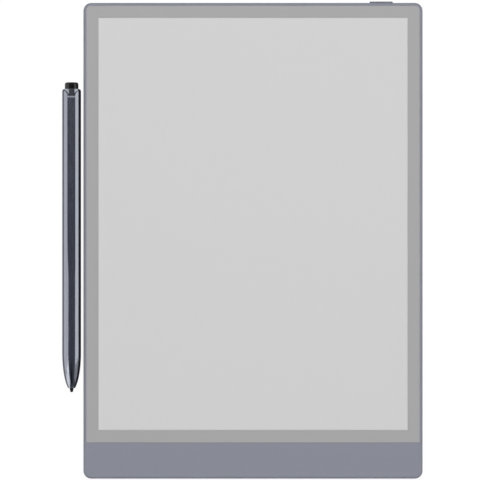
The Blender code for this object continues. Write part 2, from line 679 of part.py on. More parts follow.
def build_button_flex():
    """The button's ribbon: over the switch, down the right side and in to the board."""
    outer = RIGHT - SIDE_WALL - BUTTON_FLEX_WALL_GAP
    inner = outer - BUTTON_FLEX_WIDTH
    low = BOTTOM + BUTTON_FLEX_Y
    start = BUTTON_X - SWITCH_WIDTH / 2
    end = BOARD_WIDTH / 2 - BUTTON_FLEX_LAP
    outline = [
        (start, SWITCH_FRONT), (start, SWITCH_BACK), (inner, SWITCH_BACK), (inner, low + BUTTON_FLEX_WIDTH),
        (end, low + BUTTON_FLEX_WIDTH), (end, low), (outer, low), (outer, SWITCH_FRONT),
    ]
    level = Matrix.Translation((0.0, 0.0, BOARD_TOP + BOND + FLEX / 2))
    add_part("button_flex", prism(outline, FLEX, level), "ribbon_amber")


def build_dock_magnets():
    low = LEFT + SIDE_WALL + BOND
    z = (REAR_PLATE + LIP_HEIGHT + MAGNET_FLOOR_GAP, WEB_Z - BOND)
    for index in range(MAGNET_COUNT):
        middle = (index - (MAGNET_COUNT - 1) / 2) * MAGNET_PITCH
        magnet = slab((low, low + MAGNET), (middle - MAGNET_LENGTH / 2, middle + MAGNET_LENGTH / 2), z)
        add_part(f"dock_magnet_{index + 1}", magnet, "magnet_nickel")


def barrel_profile():
    """The barrel's closed half section: shoulder, straight, nose, then the bore back to the tail."""
    tail_radius = BORE + TAIL_LIP
    rise = BARREL_RADIUS - tail_radius
    profile = []
    for step in range(SHOULDER_STEPS + 1):
        angle = math.pi / 2 * step / SHOULDER_STEPS
        profile.append((tail_radius + rise * math.sin(angle),
                        BARREL_LENGTH - SHOULDER * (1 - math.cos(angle))))
    end_angle = math.acos(NOSE_TIP_RADIUS / BARREL_RADIUS)
    nose_length = NOSE_AXIS * math.sin(end_angle)
    for step in range(NOSE_STEPS + 1):
        angle = end_angle * step / NOSE_STEPS
        profile.append((BARREL_RADIUS * math.cos(angle), nose_length - NOSE_AXIS * math.sin(angle)))
    guide = NIB_RADIUS + FIT
    bore_start = NOSE_SEAT + NOSE_BORE_LENGTH
    profile += [(guide, 0.0), (guide, NOSE_SEAT), (NOSE_BORE, NOSE_SEAT), (NOSE_BORE, bore_start),
                (BORE, bore_start), (BORE, BARREL_LENGTH)]
    return profile


def build_barrel(axis):
    barrel = turned("stylus_barrel", barrel_profile(), "barrel_metal", axis, closed=True, steps=BARREL_STEPS)
    flat = BARREL_RADIUS - FLAT_DEPTH
    outside = BARREL_RADIUS + OVERSHOOT
    tail_edge = BORE + TAIL_LIP
    bevel_slope = (flat - tail_edge) / TAIL_BEVEL
    runout_slope = FLAT_DEPTH / FLAT_RUNOUT
    past_tail = BARREL_LENGTH + OVERSHOOT
    runout_start = BARREL_LENGTH - FLAT_LENGTH
    outline = [
        (outside, past_tail), (tail_edge - bevel_slope * OVERSHOOT, past_tail),
        (flat, BARREL_LENGTH - TAIL_BEVEL), (flat, runout_start),
        (outside, runout_start - FLAT_RUNOUT - OVERSHOOT / runout_slope),
    ]
    facing = Matrix(((0, 0, -1, 0), (-1, 0, 0, 0), (0, 1, 0, 0), (0, 0, 0, 1)))
    cut(barrel, "barrel_flat", prism(outline, 2 * outside, facing))


def build_nib(axis):
    """The nib's tip is half an ellipse past a slight taper."""
    dome = NIB_TIP_RADIUS
    profile = [(0.0, STEM_END), (NIB_STEM_RADIUS, STEM_END), (NIB_STEM_RADIUS, NIB_SHOULDER),
               (NIB_RADIUS, NIB_SHOULDER), (NIB_RADIUS, 0.0)]
    for step in range(NIB_TIP_STEPS):
        angle = math.pi / 2 * step / NIB_TIP_STEPS
        profile.append((NIB_TIP_RADIUS * math.cos(angle), dome - NIB_REACH - dome * math.sin(angle)))
    profile.append((0.0, -NIB_REACH))
    turned("stylus_nib", profile, "moulded_black", axis)


def build_tip_parts(axis):
    """What reads the nib: the ferrite and its coil, and the force sensor behind them."""
    stem_bore = NIB_STEM_RADIUS + FIT
    turned("stylus_ferrite_core", tube(FERRITE_RADIUS, stem_bore, FERRITE_Z, FERRITE_Z + FERRITE_LENGTH),
           "ferrite", axis, closed=True)
    coil_z = FERRITE_Z + COIL_SETBACK
    coil_inner = FERRITE_RADIUS + BOND
    turned("stylus_coil", tube(coil_inner + COIL_BUILD, coil_inner, coil_z, coil_z + COIL_LENGTH),
           "copper_wire", axis, closed=True)
    end = TIP_SENSOR_Z + TIP_SENSOR_LENGTH
    socket = TIP_SENSOR_Z + SENSOR_SOCKET
    turned("stylus_tip_sensor", [(0.0, end), (INSERT_RADIUS, end), (INSERT_RADIUS, TIP_SENSOR_Z),
                                 (stem_bore, TIP_SENSOR_Z), (stem_bore, socket), (0.0, socket)],
           "moulded_black", axis)


def build_stylus_electronics(axis):
    """A half-round carrier behind the axis, with the circuit board and two magnets in front of it."""
    carrier_end = CARRIER_Z + CARRIER_LENGTH
    carrier = add_part("stylus_carrier", rod(INSERT_RADIUS, (CARRIER_Z, carrier_end)), "moulded_black", axis)
    seat = STYLUS_BOARD / 2 + BOND
    cut(carrier, "carrier_front", slab((-BARREL_RADIUS, BARREL_RADIUS), (-BARREL_RADIUS, seat),
                                       (CARRIER_Z - OVERSHOOT, carrier_end + OVERSHOOT)))
    half = math.sqrt(INSERT_RADIUS ** 2 - STYLUS_BOARD ** 2)
    middle = (CARRIER_Z + carrier_end) / 2
    board = slab((-half, half), (-STYLUS_BOARD / 2, STYLUS_BOARD / 2),
                 (middle - STYLUS_BOARD_LENGTH / 2, middle + STYLUS_BOARD_LENGTH / 2))
    add_part("stylus_circuit_board", board, "board_green", axis)
    x = (STYLUS_MAGNET_OFFSET, STYLUS_MAGNET_OFFSET + STYLUS_MAGNET_WIDTH)
    y = (-seat - STYLUS_MAGNET, -seat)
    for index, side in enumerate((-1, 1), 1):
        centre = middle + side * STYLUS_MAGNET_PITCH / 2
        magnet = slab(x, y, (centre - STYLUS_MAGNET_LENGTH / 2, centre + STYLUS_MAGNET_LENGTH / 2))
        add_part(f"stylus_magnet_{index}", magnet, "magnet_nickel", axis)


def build_eraser(axis):
    stem_bore = ERASER_STEM_RADIUS + FIT
    socket = ERASER_SENSOR_END - ERASER_SOCKET
    turned("stylus_eraser_sensor", [(0.0, socket), (stem_bore, socket), (stem_bore, ERASER_SENSOR_END),
                                    (INSERT_RADIUS, ERASER_SENSOR_END), (INSERT_RADIUS, ERASER_SENSOR_Z),
                                    (0.0, ERASER_SENSOR_Z)], "moulded_black", axis)
    top = BARREL_LENGTH + ERASER_PROUD
    profile = [(0.0, top)]
    for step in range(ERASER_STEPS + 1):
        angle = math.pi / 2 * step / ERASER_STEPS
        profile.append((INSERT_RADIUS - ERASER_ROUNDING * (1 - math.sin(angle)),
                        top - ERASER_ROUNDING * (1 - math.cos(angle))))
    stem_end = socket + SENSOR_TRAVEL
    profile += [(INSERT_RADIUS, ERASER_Z), (ERASER_STEM_RADIUS, ERASER_Z), (ERASER_STEM_RADIUS, stem_end),
                (0.0, stem_end)]
    turned("stylus_eraser", profile, "moulded_black", axis)


def build_stylus():
    """Stylus pieces are modelled upright about an empty, which lays them along the tablet's edge."""
    axis = bpy.data.objects.new("stylus_axis", None)
    axis.location = (STYLUS_X, STYLUS_FRONT_Y, STYLUS_Z)
    axis.rotation_euler = (-math.pi / 2, 0.0, 0.0)
    PARTS.objects.link(axis)
    build_barrel(axis)
    build_nib(axis)
    build_tip_parts(axis)
    build_stylus_electronics(axis)
    build_eraser(axis)


clear_scene()
PARTS = new_collection("personal_digital_assistant")
TOOLS = new_collection("shaping_solids")
build_rear_cover()
build_feet()
build_mid_frame()
build_display()
build_battery()
build_main_board()
build_usb_socket()
build_ribbons()
build_power_button()
build_power_switch()
build_button_flex()
build_dock_magnets()
build_stylus()
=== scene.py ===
"""The looks of an e-paper note tablet and its stylus: camera, light, finishes and detailed pieces.

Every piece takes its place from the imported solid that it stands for. Metres, +Z up: the screen faces +Z,
the power button is on the +Y edge and the stylus lies beside the -X edge.
"""

import math

import bmesh
import bpy
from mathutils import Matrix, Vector


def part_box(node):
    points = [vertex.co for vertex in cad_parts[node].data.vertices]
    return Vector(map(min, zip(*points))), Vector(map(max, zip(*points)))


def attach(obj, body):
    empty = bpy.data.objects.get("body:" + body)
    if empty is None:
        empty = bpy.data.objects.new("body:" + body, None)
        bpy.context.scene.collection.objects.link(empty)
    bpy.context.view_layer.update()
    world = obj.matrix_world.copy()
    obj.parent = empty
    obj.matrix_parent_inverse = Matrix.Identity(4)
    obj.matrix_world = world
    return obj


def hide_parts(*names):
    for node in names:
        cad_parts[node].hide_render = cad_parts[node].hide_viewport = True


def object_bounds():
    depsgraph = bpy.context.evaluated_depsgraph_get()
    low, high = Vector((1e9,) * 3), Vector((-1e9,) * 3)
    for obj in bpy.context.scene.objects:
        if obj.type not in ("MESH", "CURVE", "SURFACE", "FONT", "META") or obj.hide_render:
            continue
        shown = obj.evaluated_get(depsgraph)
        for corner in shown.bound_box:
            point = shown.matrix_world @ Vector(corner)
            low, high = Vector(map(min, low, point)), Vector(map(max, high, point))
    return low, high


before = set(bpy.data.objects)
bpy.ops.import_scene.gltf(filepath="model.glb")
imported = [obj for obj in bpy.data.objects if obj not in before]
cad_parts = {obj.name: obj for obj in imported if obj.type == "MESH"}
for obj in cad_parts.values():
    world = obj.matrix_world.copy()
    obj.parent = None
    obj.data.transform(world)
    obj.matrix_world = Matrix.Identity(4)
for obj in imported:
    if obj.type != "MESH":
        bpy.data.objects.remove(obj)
CAD_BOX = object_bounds()

# Camera, straight above the object
VIEW_CENTRE = (-0.00663, 0.0004)
VIEW_WIDTH = 0.2445             # width of the picture at the level of the front face
CAMERA_DISTANCE = 2.5
SENSOR = 36.0                   # millimetres, as Blender's lens is

# Shapes of the tablet
CORNER_RADIUS = 0.004
FRONT_ROUNDING = 0.0014
REAR_ROUNDING = 0.0009
BORDER_CORNER = 0.0024          # upper corners of the border sheet
SHARP_CORNER = 0.0003
EDGE_BREAK = 0.00012            # rounding of edges that look sharp
SHEET_EDGE = 0.00006            # rounding of the edges of thin sheets
FIT = 0.0001                    # between pieces that sit in one another
SHEET_SEAM = 0.00003            # what is seen of the fit round the sheets of the front
POINT = 0.00001                 # least corner radius
SEAM = 0.0001                   # between the frame and the rear cover
SIDE_WALL = 0.002
CUT_REACH = 0.002               # by which a cutter starts outside a piece
CHIN_STEP = 0.0004              # from the side wall to the hollow behind the chin
CHIN_SKIN = 0.0008              # thickness of the front over that hollow
CHIN_RIB = 0.0012               # between that hollow and the pocket of the sheets
SOCKET_FIT = 0.00015            # round the charging socket
SLOT_DEPTH = 0.0045             # reach of the slots through the side wall
FOOT_COUNT = 4
FOOT_POCKET = 0.0004            # depth of the pocket of a foot
FOOT_ROUNDING = 0.00025
BUTTON_LENGTH = 0.0118
BUTTON_ROUNDING = 0.00035
FLANGE_THICKNESS = 0.0007       # of the flange that keeps the button in
FULL_ROUND = 0.98               # share of half a shape's width that a full rounding takes

# Charging socket
SOCKET_WALL = 0.0003
SOCKET_LIP = 0.0001             # rounding of the sleeve's rim
TONGUE_THICKNESS = 0.0007
TONGUE_WIDTH = 0.0064
TONGUE_BLOCK = 0.0016           # length of the block that carries the tongue
TONGUE_ROUNDING = 0.0002
CONTACT_COUNT = 12
CONTACT_PITCH = 0.0005
CONTACT_WIDTH = 0.00026
CONTACT_LENGTH = 0.0032
CONTACT_PROUD = 0.00002
CONTACT_SETBACK = 0.0005        # from the tongue's end to the contacts

# Stylus, measured along its axis
FLAT_LEVEL = 0.00435            # from the axis to the flat
FLAT_LENGTH = 0.0376            # from the tail to where the flat starts to swell
SWELL_LENGTH = 0.059            # from there to where the barrel is round
SWELL_POWER = 0.75              # power by which the flat swells
SWELL_STEPS = 30
NOSE_TRIM = 0.00025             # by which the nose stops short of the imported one
NOSE_AXIS = 0.0195              # half length of the ellipse that the nose follows
NOSE_TIP_RADIUS = 0.00175
NOSE_STEPS = 24
SHOULDER_LENGTH = 0.0012        # of the rounding at the tail
TAIL_RADIUS = 0.00375           # of the barrel's end face
TAIL_STEPS = 48
TAIL_LENGTH = 0.0052            # stretch that the notch and its rounding take
NOTCH_LENGTH = 0.0034
NOTCH_SPREAD = math.radians(62)  # by which the notch's edges spread round the barrel
NOTCH_FLARE = 2.65              # power by which the notch widens towards the tail
NOTCH_CROWN = 0.0046            # radius of the notch's face across the barrel
LEAST_CROWN = 0.01              # share of that curvature where the notch starts
NOTCH_SLOPE = 0.155             # fall of the notch's face along the barrel
NOTCH_ROLL = 0.0015             # length of the rounding where the flat rolls into the notch
NOTCH_ROLL_END = 0.0032         # from the tail to where that rounding ends
NOTCH_ROLL_DROP = 0.00012       # by which the face falls over it
EDGE_STRIP = 0.00008            # width of the wall beside the front face
NOTCH_WALL = 0.0006             # what the wall gains in width over the notch
NOTCH_GROOVE = 0.0005           # depth of the groove in that wall
NOTCH_WALL_RATE = 3.0           # the wall is at its full width at 1/3 of the notch
NOTCH_GROOVE_RATE = 4.0         # the groove and the curvature are at theirs at 1/4
BORE_WALL = 0.0001              # least metal between the groove and the bore
BORE_RADIUS = 0.0036
NIB_GUIDE_RADIUS = 0.0011
NIB_GUIDE_DEPTH = 0.0045        # from the nose's end to the wider bore behind it
NOSE_BORE_RADIUS = 0.0027
NOSE_BORE_END = 0.0111          # from the nose's end to the full bore
NIB_RADIUS = 0.001
NIB_TIP_RADIUS = 0.0008
NIB_STEM_RADIUS = 0.0007
NIB_SHOULDER = 0.0034           # from the nose's end to the back of the thick part
ERASER_ROUNDING = 0.0011
ERASER_STEM_RADIUS = 0.001
ERASER_GAP = 0.0008             # between the cap and the sensor under it

# Fineness of the meshes
CORNER_STEPS = 12
ROUND_STEPS = 7
TIP_STEPS = 14
TURN_STEPS = 64
FRONT_STEPS = 14                # across the barrel's front face
SIDE_STEPS = 66                 # round the rest of the barrel
SMOOTH_ANGLE = math.radians(28)  # edges that bend more are sharp

# Places in the list of points of a barrel section, where a groove lies between each edge and the face
LEFT_EDGE = 0
RIGHT_EDGE = FRONT_STEPS + 4

# Studio
FLOOR_SIZE = 20.0
FLOOR_GLOW = 0.96               # the floor's white, before the light that falls on it
FLOOR_BOUNCE = 0.2              # the share of it that lights the object's sides
FLOOR_GREY = (0.055, 0.055, 0.055)
SKY_TILT = math.radians(28)     # the dark middle of the sky leans this far from the zenith towards -Y
SKY = (                         # cosine of the angle from the dark middle, and the light from there
    (0.0, (0.22, 0.22, 0.22)),
    (0.4, (0.22, 0.22, 0.22)),
    (0.6, (0.24, 0.24, 0.26)),
    (0.866, (0.25, 0.26, 0.31)),
    (0.94, (0.18, 0.19, 0.23)),
    (0.978, (0.07, 0.07, 0.09)),
    (1.0, (0.04, 0.04, 0.05)),
)
HORIZON = (                     # sine of the height above the horizon, and the least light from there
    (0.0, (1.0, 1.0, 1.0)),
    (0.06, (1.0, 1.0, 1.0)),
    (0.18, (0.0, 0.0, 0.0)),
)
LAMPS = {                       # place, size and light of each, aimed at the middle of the object
    "overhead_lamp": ((0.1, 0.35, 1.8), (1.2, 1.2), 6.4),
}
LAMP_TINT = (1.0, 0.99, 0.975)
CARDS = {                       # bright panels that only show in reflections, in the same form
    "right_card": ((1.2, 0.35, 0.55), (1.3, 1.25), 2.6),
    "left_card": ((-1.2, 0.28, 0.55), (1.44, 1.25), 2.0),
    "low_right_card": ((1.1, -0.48, 0.5), (0.5, 1.1), 0.75),
    "low_left_card": ((-1.0, -0.65, 0.5), (0.7, 1.1), 3.4),
    "top_card": ((0.0, 0.34, 1.5), (1.2, 0.18), 2.5),
    "near_card": ((0.0, -1.5, 0.32), (2.6, 0.62), 1.2),
    "far_card": ((0.0, 1.5, 0.42), (2.6, 0.8), 1.2),
}
# A card that lies just over the floor, left of the stylus, and faces up
FLOOR_CARD = ((-0.53, 0.3, -0.0004), (0.8, 1.3), 1.6)

# Finishes: 8-bit sRGB colour, roughness, metallic value, size of the grain, share by which the tone varies,
# depth of the relief, and how far the roughness varies
FINISHES = {
    "frame_paint": ((138, 141, 151), 0.48, 0.0, 0.0003, 0.035, 0.000006, 0.06),
    "rear_paint": ((134, 137, 147), 0.58, 0.0, 0.0005, 0.04, 0.000014, 0.06),
    "button_paint": ((115, 117, 127), 0.42, 0.0, 0.0003, 0.03, 0.000005, 0.05),
    "border_print": ((165, 165, 165), 0.6, 0.0, 0.00025, 0.03, 0.000004, 0.05),
    "film": ((208, 208, 208), 0.68, 0.0, 0.00022, 0.022, 0.000005, 0.06),
    "glass": ((196, 197, 198), 0.2, 0.0, 0.004, 0.01, 0.0, 0.04),
    "rubber": ((44, 45, 47), 0.86, 0.0, 0.0003, 0.12, 0.00002, 0.06),
    "steel": ((176, 178, 182), 0.32, 1.0, 0.0006, 0.05, 0.000004, 0.1),
    "gold": ((212, 175, 92), 0.26, 1.0, 0.0003, 0.05, 0.000001, 0.06),
    "black_plastic": ((26, 26, 28), 0.45, 0.0, 0.0004, 0.14, 0.00001, 0.08),
    "chip": ((36, 37, 39), 0.5, 0.0, 0.0003, 0.1, 0.000006, 0.08),
    "solder_mask": ((42, 84, 60), 0.4, 0.0, 0.0012, 0.16, 0.00001, 0.1),
    "battery_wrap": ((72, 74, 78), 0.46, 0.0, 0.003, 0.07, 0.00004, 0.12),
    "polyimide": ((150, 98, 40), 0.4, 0.0, 0.0008, 0.12, 0.000004, 0.1),
    "nickel": ((190, 190, 186), 0.22, 1.0, 0.0008, 0.04, 0.000003, 0.08),
    "barrel": ((107, 110, 118), 0.17, 1.0, 0.0003, 0.05, 0.0000012, 0.05),
    # near-black on the walls of the stylus notch's grooves: painted shade in the creases
    "groove": ((14, 14, 16), 0.5, 0.0, 0.0002, 0.12, 0.000004, 0.08),
    "nib_plastic": ((13, 13, 14), 0.5, 0.0, 0.0002, 0.15, 0.000006, 0.08),
    "eraser_plastic": ((7, 7, 8), 0.16, 0.0, 0.0004, 0.15, 0.000002, 0.05),
    "ferrite": ((58, 56, 55), 0.62, 0.0, 0.0003, 0.14, 0.000012, 0.1),
    "copper": ((178, 104, 62), 0.34, 1.0, 0.0002, 0.12, 0.00001, 0.08),
}
GRAIN_STRETCH = {               # how much longer than wide the grain is, along Y
    "barrel": 24.0,
    "copper": 0.2,
    "polyimide": 30.0,
}
SPECULAR = {                    # specular level, where it isn't the usual 0.5
    "frame_paint": 0.06,
    "button_paint": 0.06,
    "border_print": 0.25,
    "film": 0.25,
    "nib_plastic": 0.15,
    "eraser_plastic": 0.22,
}
EDGE_TINT = {                   # tint of a metal's reflection at grazing angles
    "barrel": (0.42, 0.42, 0.44, 1.0),
}

# Solids that stay as they were packed, under the detailed pieces
INNER_FINISHES = {
    "glass": ["epaper_panel"],
    "solder_mask": ["digitizer_board", "main_board", "stylus_circuit_board"],
    "battery_wrap": ["battery_pack"],
    "black_plastic": ["battery_connector", "battery_lead", "display_connector", "digitizer_connector",
                      "power_switch", "switch_plunger", "stylus_tip_sensor", "stylus_carrier",
                      "stylus_eraser_sensor"],
    "steel": ["board_screw_1", "board_screw_2", "board_screw_3", "board_screw_4", "processor_shield",
              "radio_shield", "button_bracket"],
    "chip": ["memory_chip"],
    "polyimide": ["display_flex", "digitizer_flex", "button_flex"],
    "nickel": ["dock_magnet_1", "dock_magnet_2", "dock_magnet_3", "stylus_magnet_1", "stylus_magnet_2"],
    "ferrite": ["stylus_ferrite_core"],
    "copper": ["stylus_coil"],
}

NOISE_SPAN = (0.3, 0.7)         # the part of the noise's range that a finish uses
NOISE_DETAIL = 3.0
MADE = {}                       # finishes made so far, by name


def linear(colour):
    """An 8-bit sRGB colour as linear values."""
    shares = [channel / 255 for channel in colour]
    return [share / 12.92 if share <= 0.04045 else ((share + 0.055) / 1.055) ** 2.4 for share in shares]


def feed(tree, socket, value):
    """Gives a socket a value or another node's output."""
    if isinstance(value, bpy.types.NodeSocket):
        tree.links.new(value, socket)
    else:
        socket.default_value = value


def add_node(tree, kind, **inputs):
    """Adds a shader node with its inputs by name."""
    node = tree.nodes.new(kind)
    for name, value in inputs.items():
        feed(tree, node.inputs[name.replace("_", " ")], value)
    return node


def add_operation(tree, kind, operation, first, second):
    """Adds a shader node that works out one operation on two inputs."""
    node = tree.nodes.new(kind)
    node.operation = operation
    feed(tree, node.inputs[0], first)
    feed(tree, node.inputs[1], second)
    return node


def set_ramp(node, stops):
    """Gives a colour ramp its stops: (position, RGB)."""
    elements = node.color_ramp.elements
    while len(elements) < len(stops):
        elements.new(1.0)
    for element, (position, colour) in zip(elements, stops):
        element.position = position
        element.color = (*colour, 1.0)


def make_finish(name):
    """A grained surface: noise at the size of the grain moves its tone, its gloss and its relief."""
    if name in MADE:
        return MADE[name]
    colour, roughness, metallic, grain, tone, relief, spread = FINISHES[name]
    base = linear(colour)
    material = bpy.data.materials.new(f"{name}_finish")
    MADE[name] = material
    material.use_nodes = True
    tree = material.node_tree
    shader = tree.nodes["Principled BSDF"]
    shader.inputs["Metallic"].default_value = metallic
    if name in SPECULAR:
        shader.inputs["Specular IOR Level"].default_value = SPECULAR[name]
    if name in EDGE_TINT:
        shader.inputs["Specular Tint"].default_value = EDGE_TINT[name]
    place = tree.nodes.new("ShaderNodeTexCoord").outputs["Object"]
    scale = (1 / grain, 1 / grain / GRAIN_STRETCH.get(name, 1.0), 1 / grain)
    stretched = add_node(tree, "ShaderNodeMapping", Vector=place, Scale=scale).outputs["Vector"]
    texture = add_node(tree, "ShaderNodeTexNoise", Vector=stretched, Scale=1.0, Detail=NOISE_DETAIL)
    noise = texture.outputs["Fac"]
    ramp = add_node(tree, "ShaderNodeValToRGB", Fac=noise)
    set_ramp(ramp, [(NOISE_SPAN[0], [channel * (1 - tone) for channel in base]),
                    (NOISE_SPAN[1], [channel * (1 + tone) for channel in base])])
    tree.links.new(ramp.outputs["Color"], shader.inputs["Base Color"])
    gloss = add_node(tree, "ShaderNodeMapRange", Value=noise, From_Min=NOISE_SPAN[0],
                     From_Max=NOISE_SPAN[1], To_Min=roughness - spread, To_Max=roughness + spread)
    tree.links.new(gloss.outputs["Result"], shader.inputs["Roughness"])
    if relief > 0.0:
        bump = add_node(tree, "ShaderNodeBump", Strength=1.0, Distance=relief, Height=noise)
        tree.links.new(bump.outputs["Normal"], shader.inputs["Normal"])
    return material


def outline(x, y, radius, low_radius=None):
    """A rectangle with rounded corners, those at low Y by low_radius, as points run anticlockwise."""
    if low_radius is None:
        low_radius = radius
    corners = (
        (x[1] - low_radius, y[0] + low_radius, low_radius, -90),
        (x[1] - radius, y[1] - radius, radius, 0),
        (x[0] + radius, y[1] - radius, radius, 90),
        (x[0] + low_radius, y[0] + low_radius, low_radius, 180),
    )
    points = []
    for centre_x, centre_y, bend, start in corners:
        for step in range(CORNER_STEPS + 1):
            angle = math.radians(start + 90 * step / CORNER_STEPS)
            points.append((centre_x + bend * math.cos(angle), centre_y + bend * math.sin(angle)))
    return points


def level_ring(x, y, z, radius, low_radius=None, inset=0.0):
    """An outline at one height, drawn in by the inset."""
    if low_radius is None:
        low_radius = radius
    points = outline((x[0] + inset, x[1] - inset), (y[0] + inset, y[1] - inset),
                     max(radius - inset, POINT), max(low_radius - inset, POINT))
    return [(point_x, point_y, z) for point_x, point_y in points]


def slab_rings(x, y, z, corner, low_round, high_round, low_corner=None):
    """The rings of a slab with rounded upright edges and rounded lower and upper rims."""
    rings = []
    for step in range(ROUND_STEPS + 1):
        angle = math.pi / 2 * step / ROUND_STEPS
        rings.append(level_ring(x, y, z[0] + low_round * (1 - math.cos(angle)), corner, low_corner,
                                low_round * (1 - math.sin(angle))))
    for step in range(ROUND_STEPS, -1, -1):
        angle = math.pi / 2 * step / ROUND_STEPS
        rings.append(level_ring(x, y, z[1] - high_round * (1 - math.cos(angle)), corner, low_corner,
                                high_round * (1 - math.sin(angle))))
    return rings


def flared_rings(x, y, z, corner, flare, low_corner=None):
    """The rings of a cutter that is straight up to z[1] and takes a chamfer off the rim there."""
    rings = [level_ring(x, y, height, corner, low_corner) for height in (z[0], z[1] - flare)]
    rings.append(level_ring(x, y, z[1] + flare, corner, low_corner, -2 * flare))
    return rings


def along_y(rings, flip=1):
    """Rings stacked along Z, stacked along Y instead (or along -Y): their own Y becomes Z."""
    return [[(x, flip * z, y) for x, y, z in ring] for ring in rings]


def turned_rings(profile, x, z):
    """The rings of a profile of (radius, y) points turned about a line along Y."""
    angles = [2 * math.pi * step / TURN_STEPS for step in range(TURN_STEPS)]
    return [[(x + radius * math.sin(angle), y, z + radius * math.cos(angle)) for angle in angles]
            for radius, y in profile]


def loft(rings, closed=False):
    """A skin over rings of as many points each, with flat ends, or closed end to end."""
    shape = bmesh.new()
    rows = [[shape.verts.new(point) for point in ring] for ring in rings]
    pairs = list(zip(rows, rows[1:]))
    if closed:
        pairs.append((rows[-1], rows[0]))
    else:
        shape.faces.new(rows[0])
        shape.faces.new(rows[-1])
    for row, following in pairs:
        for index in range(len(row)):
            after = (index + 1) % len(row)
            shape.faces.new((row[index], row[after], following[after], following[index]))
    bmesh.ops.recalc_face_normals(shape, faces=shape.faces)
    return shape


def combine(shape, tool, operation="DIFFERENCE"):
    """Cuts one shape from another, or joins them."""
    work = []
    for item in (shape, tool):
        mesh = bpy.data.meshes.new("work")
        item.to_mesh(mesh)
        item.free()
        obj = bpy.data.objects.new("work", mesh)
        bpy.context.scene.collection.objects.link(obj)
        work.append(obj)
    modifier = work[0].modifiers.new("Combine", "BOOLEAN")
    modifier.operation = operation
    modifier.solver = "EXACT"
    modifier.object = work[1]
    evaluated = work[0].evaluated_get(bpy.context.evaluated_depsgraph_get())
    mesh = bpy.data.meshes.new_from_object(evaluated)
    result = bmesh.new()
    result.from_mesh(mesh)
    for obj in work:
        bpy.data.meshes.remove(obj.data)
    bpy.data.meshes.remove(mesh)
    return result


def add_piece(name, shape, finish, body, slot, *nodes):
    """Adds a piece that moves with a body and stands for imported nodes."""
    for face in shape.faces:
        face.smooth = True
    for edge in shape.edges:
        edge.smooth = edge.smooth and edge.calc_face_angle(0.0) < SMOOTH_ANGLE
    mesh = bpy.data.meshes.new(name)
    shape.to_mesh(mesh)
    shape.free()
    mesh.materials.append(make_finish(finish))
    obj = bpy.data.objects.new(name, mesh)
    bpy.context.scene.collection.objects.link(obj)
    normals = obj.modifiers.new("Normals", "WEIGHTED_NORMAL")
    normals.keep_sharp = True
    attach(obj, body)
    if nodes:
        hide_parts(*nodes)
    return obj


def spans(node):
    """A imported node's box, as (low, high) along X, Y and Z."""
    low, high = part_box(node)
    return tuple(zip(low, high))


def grown(span, margin):
    """A (low, high) span with a margin added at both ends."""
    return (span[0] - margin, span[1] + margin)


def slot_cutter(x, z, edge, outwards):
    """A cutter for a long slot with round ends through the wall at an edge that faces +Y or -Y."""
    corner = (z[1] - z[0]) / 2 * FULL_ROUND
    reach = (outwards * edge - SLOT_DEPTH, outwards * edge)
    return loft(along_y(flared_rings(x, z, reach, corner, EDGE_BREAK), outwards))


def build_mid_frame():
    """A slab with a pocket for the sheets, a hollow back and slots for the socket and the button."""
    x, y, z = spans("mid_frame")
    sheet_x, sheet_y, sheet_z = spans("front_bezel")
    web = (spans("battery_pack")[2][1] + SEAM, spans("digitizer_board")[2][0] - SEAM)
    shape = loft(slab_rings(x, y, z, CORNER_RADIUS, EDGE_BREAK, FRONT_ROUNDING))
    pocket = flared_rings(grown(sheet_x, FIT), grown(sheet_y, FIT), (web[1], z[1]), BORDER_CORNER,
                          SHEET_EDGE, SHARP_CORNER)
    shape = combine(shape, loft(pocket))
    cavity = slab_rings(grown(x, -SIDE_WALL), grown(y, -SIDE_WALL), (z[0] - CUT_REACH, web[0]),
                        CORNER_RADIUS - SIDE_WALL, EDGE_BREAK, EDGE_BREAK)
    shape = combine(shape, loft(cavity))
    rib = sheet_y[0] - FIT - CHIN_RIB
    inset = SIDE_WALL + CHIN_STEP
    chin = slab_rings(grown(x, -inset), (y[0] + inset, rib), (z[0], z[1] - CHIN_SKIN), SHARP_CORNER,
                      EDGE_BREAK, EDGE_BREAK, CORNER_RADIUS - inset)
    shape = combine(shape, loft(chin))
    socket_x, _, socket_z = spans("usb_shell")
    shape = combine(shape, slot_cutter(grown(socket_x, SOCKET_FIT), grown(socket_z, SOCKET_FIT), y[0], -1))
    button_x, button_z = button_spans()
    shape = combine(shape, slot_cutter(grown(button_x, FIT), grown(button_z, FIT), y[1], 1))
    add_piece("frame_shell", shape, "frame_paint", "tablet", "frame_metal", "mid_frame")


def build_rear_cover():
    """A shallow slab with a pocket for each foot in its lower face."""
    x, y, z = spans("rear_cover")
    top = spans("mid_frame")[2][0] - SEAM
    shape = loft(slab_rings(x, y, (z[0], top), CORNER_RADIUS, REAR_ROUNDING, EDGE_BREAK))
    for index in range(1, FOOT_COUNT + 1):
        foot_x, foot_y, _ = spans(f"rear_foot_{index}")
        radius = ((foot_x[1] - foot_x[0]) / 2 + FIT) * FULL_ROUND
        pocket = flared_rings(grown(foot_x, FIT), grown(foot_y, FIT), (-FOOT_POCKET, 0.0), radius,
                              EDGE_BREAK)
        turned_over = [[(point_x, point_y, -height) for point_x, point_y, height in ring] for ring in pocket]
        shape = combine(shape, loft(turned_over))
    add_piece("rear_shell", shape, "rear_paint", "tablet", "rear_shell", "rear_cover")


def build_feet():
    for index in range(1, FOOT_COUNT + 1):
        x, y, z = spans(f"rear_foot_{index}")
        corner = (x[1] - x[0]) / 2 * FULL_ROUND
        foot = loft(slab_rings(x, y, z, corner, FOOT_ROUNDING, EDGE_BREAK))
        add_piece(f"foot_pad_{index}", foot, "rubber", "tablet", "foot_rubber", f"rear_foot_{index}")


